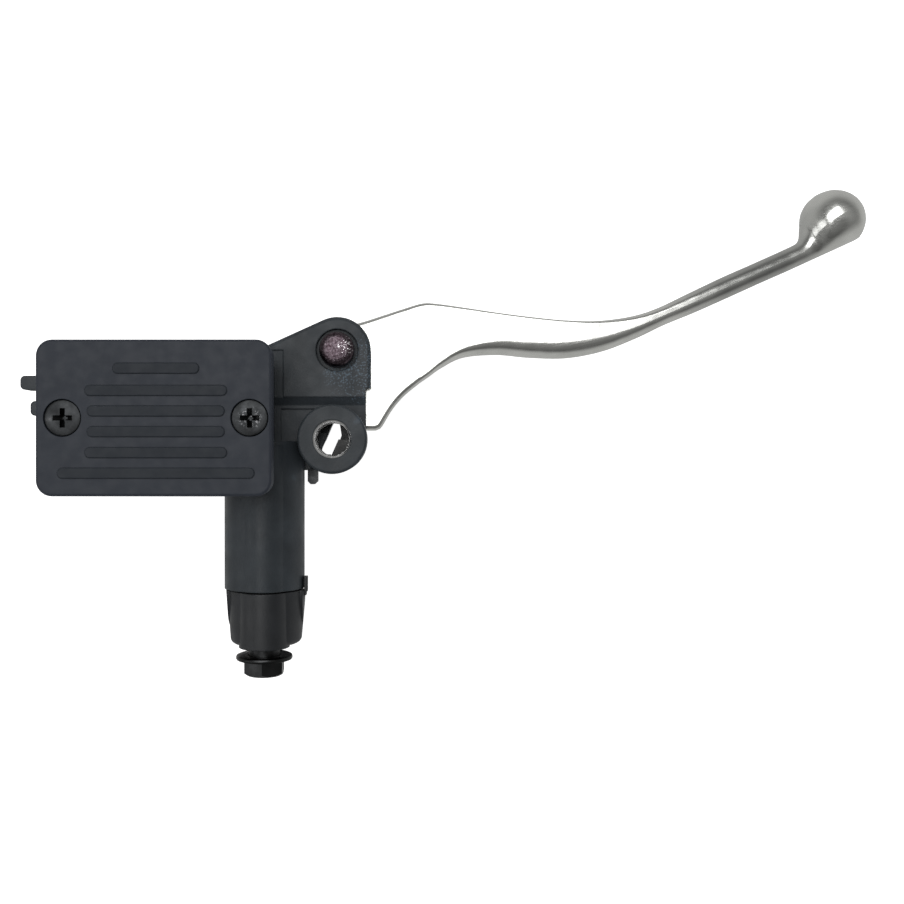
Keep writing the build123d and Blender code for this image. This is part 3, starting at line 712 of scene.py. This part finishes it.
def make_mirror_thread(material):
    """Bare thread of the mirror boss with its bright countersink."""
    x, y, top = [c / MM for c in mirror_mount["pos_m"]]
    depth = mirror_mount["dims"]["length_mm"]
    outer = mirror_mount["dims"]["r_mm"]
    crest, root, pitch = 4.42, 4.92, 1.25
    shape = Shape()
    columns = []
    count = 48
    turns = int((depth - 1.6) / pitch)
    for k in range(count + 1):
        angle = 2 * math.pi * k / count
        climb = pitch * k / count
        rows = [(outer - 0.02, top - 0.02), (crest + 0.1, top - 0.28), (crest, top - 0.45)]
        for turn in range(turns):
            base = top - 0.7 - pitch * turn - climb
            if base - pitch < top - depth + 0.1:
                base = top - depth + 0.1 + pitch
            rows += [(crest, base), (crest, base - 0.16 * pitch), (root, base - 0.5 * pitch),
                     (root, base - 0.62 * pitch)]
        rows += [(crest, top - depth + 0.05), (outer + 0.1, top - depth + 0.05), (outer + 0.1, top - 0.05)]
        columns.append(shape.ring([(x + r * math.cos(angle), y + r * math.sin(angle), z) for r, z in rows]))
    for a, b in zip(columns, columns[1:]):
        shape.strip(a, b)
    finish_piece(shape.make("mirror_thread", material), "housing", "bare_steel")


# ---------------------------------------------------------------- pivot bolt

def make_pivot_bolt(material):
    """Domed head with a soft rim; the shank and thread below."""
    low, high = corners_mm("pivot_bolt")
    radius = (high[0] - low[0]) / 2
    top = high[2]
    seat = top - 5.4
    lower_ear = corners_mm("pivot_nut")[1][2]
    slot_low = pivot[2] - LEVER_THICKNESS / 2 - 0.25
    shank, thread = 3.98, 2.95
    crown = [(0.4, top), (1.8, top - 0.04), (3.0, top - 0.16), (3.9, top - 0.42), (radius - 0.35, top - 0.78)]
    head = [(radius - 0.08, top - 1.25), (radius, top - 1.8), (radius, seat + 0.1)]
    stem = [(shank, seat), (shank, slot_low)]
    screwed = [(thread, slot_low - 0.2), (thread, lower_ear - 5.6), (2.5, low[2])]
    shape = Shape()
    shape.lathe(pivot, crown + head + stem + screwed, 64)
    finish_piece(shape.make("pivot_bolt_turned", material), "housing", "pivot_steel", "pivot_bolt")


# ---------------------------------------------------------------- clamp bolts and washers

WASHER_THICKNESS = 1.2
LOWER_BOLT_SHIFT = 2.0


def lie_back(height, deeper):
    """Turns a shape built about +Z so that it points to the rear, at a clamp bolt's height and depth."""
    return lambda p: (p[0], deeper - p[2], height + p[1])


def make_clamp_bolts(material):
    """Shouldered hex bolts with chamfered heads, and their washers."""
    bolt_low, bolt_high = corners_mm("clamp_bolts")
    washer_low, washer_high = corners_mm("clamp_washers")
    reach = (washer_high[2] - washer_low[2]) / 2
    washer_radius = (washer_high[0] - washer_low[0]) / 2
    bolt_z = reach - washer_radius
    seat = -washer_low[1]
    end = -bolt_low[1]
    flats = bolt_high[0] - bolt_low[0]
    near = -(washer_low[1] + WASHER_THICKNESS)
    for name, height, deeper in (("upper", bolt_z, 0.0), ("lower", -bolt_z, LOWER_BOLT_SHIFT)):
        place = lie_back(height, deeper)
        head = Shape()
        corner = flats / 2 / math.cos(math.pi / 6)
        turns = [math.radians(60 * k) for k in range(6)]
        hexagon = [(corner * math.sin(a), corner * math.cos(a)) for a in turns]
        rings = [head.ring([(x, y, z) for x, y in hexagon]) for z in (seat, end)]
        head.bridge(rings[0], rings[1])
        head.fill([rings[0]])
        head.fill([rings[1]])
        piece = head.make(f"clamp_bolt_{name}", material, turn=place)
        trim = Shape()
        chamfer = [(flats / 2 - 0.35, end), (flats / 2 + 0.05, end - 0.25), (corner + 0.3, end - 1.1)]
        trim.lathe((0, 0), chamfer + [(corner + 0.4, seat + 0.02)], 64)
        boolean(piece, trim.make("trim", material, turn=place), "INTERSECT")
        finish_piece(piece, "housing", "black_zinc", "clamp_bolts")
        shank = Shape()
        shank.lathe((0, 0), [(4.1, seat + 0.01), (4.15, 12.05), (3.0, 12.0), (3.0, -13.4), (2.5, -14.0)], 40)
        piece = shank.make(f"clamp_shank_{name}", material, turn=place)
        finish_piece(piece, "housing", "black_zinc", "clamp_bolts")
        washer = Shape()
        inside = 4.3
        front = [(inside, near + 0.05), (washer_radius - 0.45, near), (washer_radius - 0.12, near + 0.14)]
        rim = [(washer_radius, near + 0.45), (washer_radius, seat - 0.4), (washer_radius - 0.14, seat - 0.12)]
        back = [(washer_radius - 0.5, seat), (inside, seat), (inside, near + 0.05)]
        profile = front + rim + back
        rings = [washer.ring([(*p, z) for p in circle((0, 0), radius, 60)]) for radius, z in profile]
        for a, b in zip(rings, rings[1:]):
            washer.bridge(a, b)
        piece = washer.make(f"clamp_washer_{name}", material, turn=place)
        finish_piece(piece, "housing", "black_zinc", "clamp_washers")


# ---------------------------------------------------------------- stage and camera

FLOOR_HALF = 8.0
FLOOR_GAP = 0.004


def stage():
    """Plain pale floor under the part."""
    low = cad_box[0][2] - FLOOR_GAP
    half = FLOOR_HALF
    mesh = bpy.data.meshes.new("floor")
    corners = [(-half, -half, low), (half, -half, low), (half, half, low), (-half, half, low)]
    mesh.from_pydata(corners, [], [(0, 1, 2, 3)])
    floor = bpy.data.objects.new("floor", mesh)
    bpy.context.scene.collection.objects.link(floor)
    s = Shader("floor_paper", (0.93, 0.93, 0.93), 0.9, specular=0.1)
    s.tint(s.noise(30.0), (0.92, 0.92, 0.92), (0.94, 0.94, 0.94))
    s.set("Emission Color", (1, 1, 1, 1))
    s.set("Emission Strength", 0.88)
    mesh.materials.append(s.material)
    floor.visible_glossy = False


def area_light(name, place, target, size, radiance):
    """Rectangular soft box with that brightness."""
    light = bpy.data.lights.new(name, "AREA")
    light.shape = "RECTANGLE"
    light.size = size[0]
    light.size_y = size[1]
    light.energy = radiance * math.pi * size[0] * size[1]
    lamp = bpy.data.objects.new(name, light)
    lamp.location = place
    lamp.rotation_euler = (Vector(target) - Vector(place)).to_track_quat("-Z", "Y").to_euler()
    bpy.context.scene.collection.objects.link(lamp)


def lights():
    """Grey studio room with a large soft box overhead, towards the front left."""
    world = bpy.data.worlds.new("studio")
    world.use_nodes = True
    tree = world.node_tree
    coordinates = tree.nodes.new("ShaderNodeTexCoord")
    split = tree.nodes.new("ShaderNodeSeparateXYZ")
    ramp = tree.nodes.new("ShaderNodeValToRGB")
    height = tree.nodes.new("ShaderNodeMapRange")
    height.inputs["From Min"].default_value = -1.0
    tree.links.new(coordinates.outputs["Generated"], split.inputs["Vector"])
    tree.links.new(split.outputs["Z"], height.inputs["Value"])
    tree.links.new(height.outputs["Result"], ramp.inputs["Fac"])
    dark_side = tree.nodes.new("ShaderNodeVectorMath")
    dark_side.operation = "DOT_PRODUCT"
    dark_side.inputs[1].default_value = (0.15, -0.62, 0.77)
    patch = tree.nodes.new("ShaderNodeMapRange")
    patch.inputs["From Min"].default_value = 0.72
    patch.inputs["From Max"].default_value = 0.90
    patch.inputs["To Min"].default_value = 1.0
    patch.inputs["To Max"].default_value = 0.52
    shade = tree.nodes.new("ShaderNodeVectorMath")
    shade.operation = "SCALE"
    tree.links.new(coordinates.outputs["Generated"], dark_side.inputs[0])
    tree.links.new(dark_side.outputs["Value"], patch.inputs["Value"])
    tree.links.new(ramp.outputs["Color"], shade.inputs[0])
    tree.links.new(patch.outputs["Result"], shade.inputs["Scale"])
    tree.links.new(shade.outputs["Vector"], tree.nodes["Background"].inputs["Color"])
    # brightness by height: 0 straight down, 0.5 at the horizon, 1 straight up
    stops = [(0.0, 0.45), (0.38, 0.45), (0.5, 0.40), (0.60, 0.30), (0.72, 0.18), (0.86, 0.27), (1.0, 0.38)]
    elements = ramp.color_ramp.elements
    while len(elements) < len(stops):
        elements.new(0.5)
    for element, (position, value) in zip(elements, stops):
        element.position = position
        element.color = (value, value, value * 0.985, 1.0)
    tree.nodes["Background"].inputs["Strength"].default_value = 1.0
    bpy.context.scene.world = world
    bpy.context.scene.view_settings.view_transform = "Standard"
    area_light("key", (-0.08, 0.24, 0.80), (0.05, 0.05, 0), (0.85, 0.58), 2.5)
    area_light("side", (-0.75, -0.10, 0.45), (0.0, 0.03, 0), (0.3, 0.5), 1.2)


def camera():
    """Looks straight down from close by; the lens is shifted so that the part fills the frame."""
    data = bpy.data.cameras.new("camera")
    data.sensor_width = 36.0
    data.lens = 38.03
    data.shift_x = 0.0796
    data.clip_start = 0.01
    cam = bpy.data.objects.new("camera", data)
    cam.location = (0.0308, 0.03685, 0.2704)
    bpy.context.scene.collection.objects.link(cam)
    bpy.context.scene.camera = cam


# ---------------------------------------------------------------- build

camera()
stage()
lights()

# Point beside the pivot head about which the casting paint gets its painted bluish glints.
casting_glint_point = (pivot[0] + 6.5, pivot[1] - 5.0, corners_mm("pivot_bolt")[1][2] - 4.0)
casting = paint("casting_paint", (0.0310, 0.0370, 0.0430), 0.40, 0.55, 0.03, specular=0.26, glint_point=casting_glint_point)
clamp_paint = paint("clamp_paint", (0.0135, 0.0152, 0.0178), 0.42, 0.6, 0.025, specular=0.45)
cap_plastic = plastic("cap_plastic", (0.0255, 0.0305, 0.0415), 0.55, 0.31)
# Painted shade: the raised bars are coloured darker than the cap, standing in for the shade of raised
# lettering.
shaded_bar_plastic = plastic("shaded_bar_plastic", (0.0220, 0.0265, 0.0340), 0.6, 0.27)
black_zinc = metal("black_zinc", (0.038, 0.039, 0.040), 0.28, spread=0.3)
# Painted highlight: bright glint specks on the rim and recess of the right screw only.
right_screw = screw_places()[0][1]
screw_glint_point = (*right_screw, screw_high[2] - 0.5)
screw_steel = metal("screw_steel", (0.040, 0.042, 0.044), 0.42, spread=0.35, glint_point=screw_glint_point)
bare_steel = metal("bare_steel", (0.78, 0.78, 0.78), 0.22, spread=0.25)
bronze = metal("bronze", (0.52, 0.36, 0.18), 0.35)
piston_metal = metal("piston_metal", (0.55, 0.53, 0.46), 0.35)
black_rubber = rubber()
switch_plastic = plastic("switch_plastic", (0.012, 0.012, 0.012), 0.4, 0.5)
white_plastic = plastic("white_plastic", (0.70, 0.69, 0.65), 0.5, 0.5)
# Point about which the lever's colour is darker.
darker_spot = (lever_high[0] - 31.0, lever_high[1] - 22.0, 0.0)
aluminium = polished_aluminium(darker_spot)
looks = {
    "cast_body": casting, "clamp": clamp_paint, "cap_plastic": cap_plastic, "black_zinc": black_zinc,
    "pivot_steel": plating_with_glints(), "cap_screw_steel": screw_steel, "polished_lever": aluminium,
    "bronze": bronze, "bare_steel": bare_steel, "piston_metal": piston_metal, "black_rubber": black_rubber,
    "window_glass": window_glass(), "switch_plastic": switch_plastic, "white_plastic": white_plastic,
}
for entry in record["subparts"]:
    mesh = nodes[entry["node"]].data
    mesh.materials.clear()
    mesh.materials.append(looks[entry["material_slot"]])

make_lever(aluminium)
make_cap(cap_plastic, shaded_bar_plastic)
make_cap_screws(screw_steel)
make_mirror_thread(bare_steel)
make_pivot_bolt(looks["pivot_steel"])
make_clamp_bolts(black_zinc)
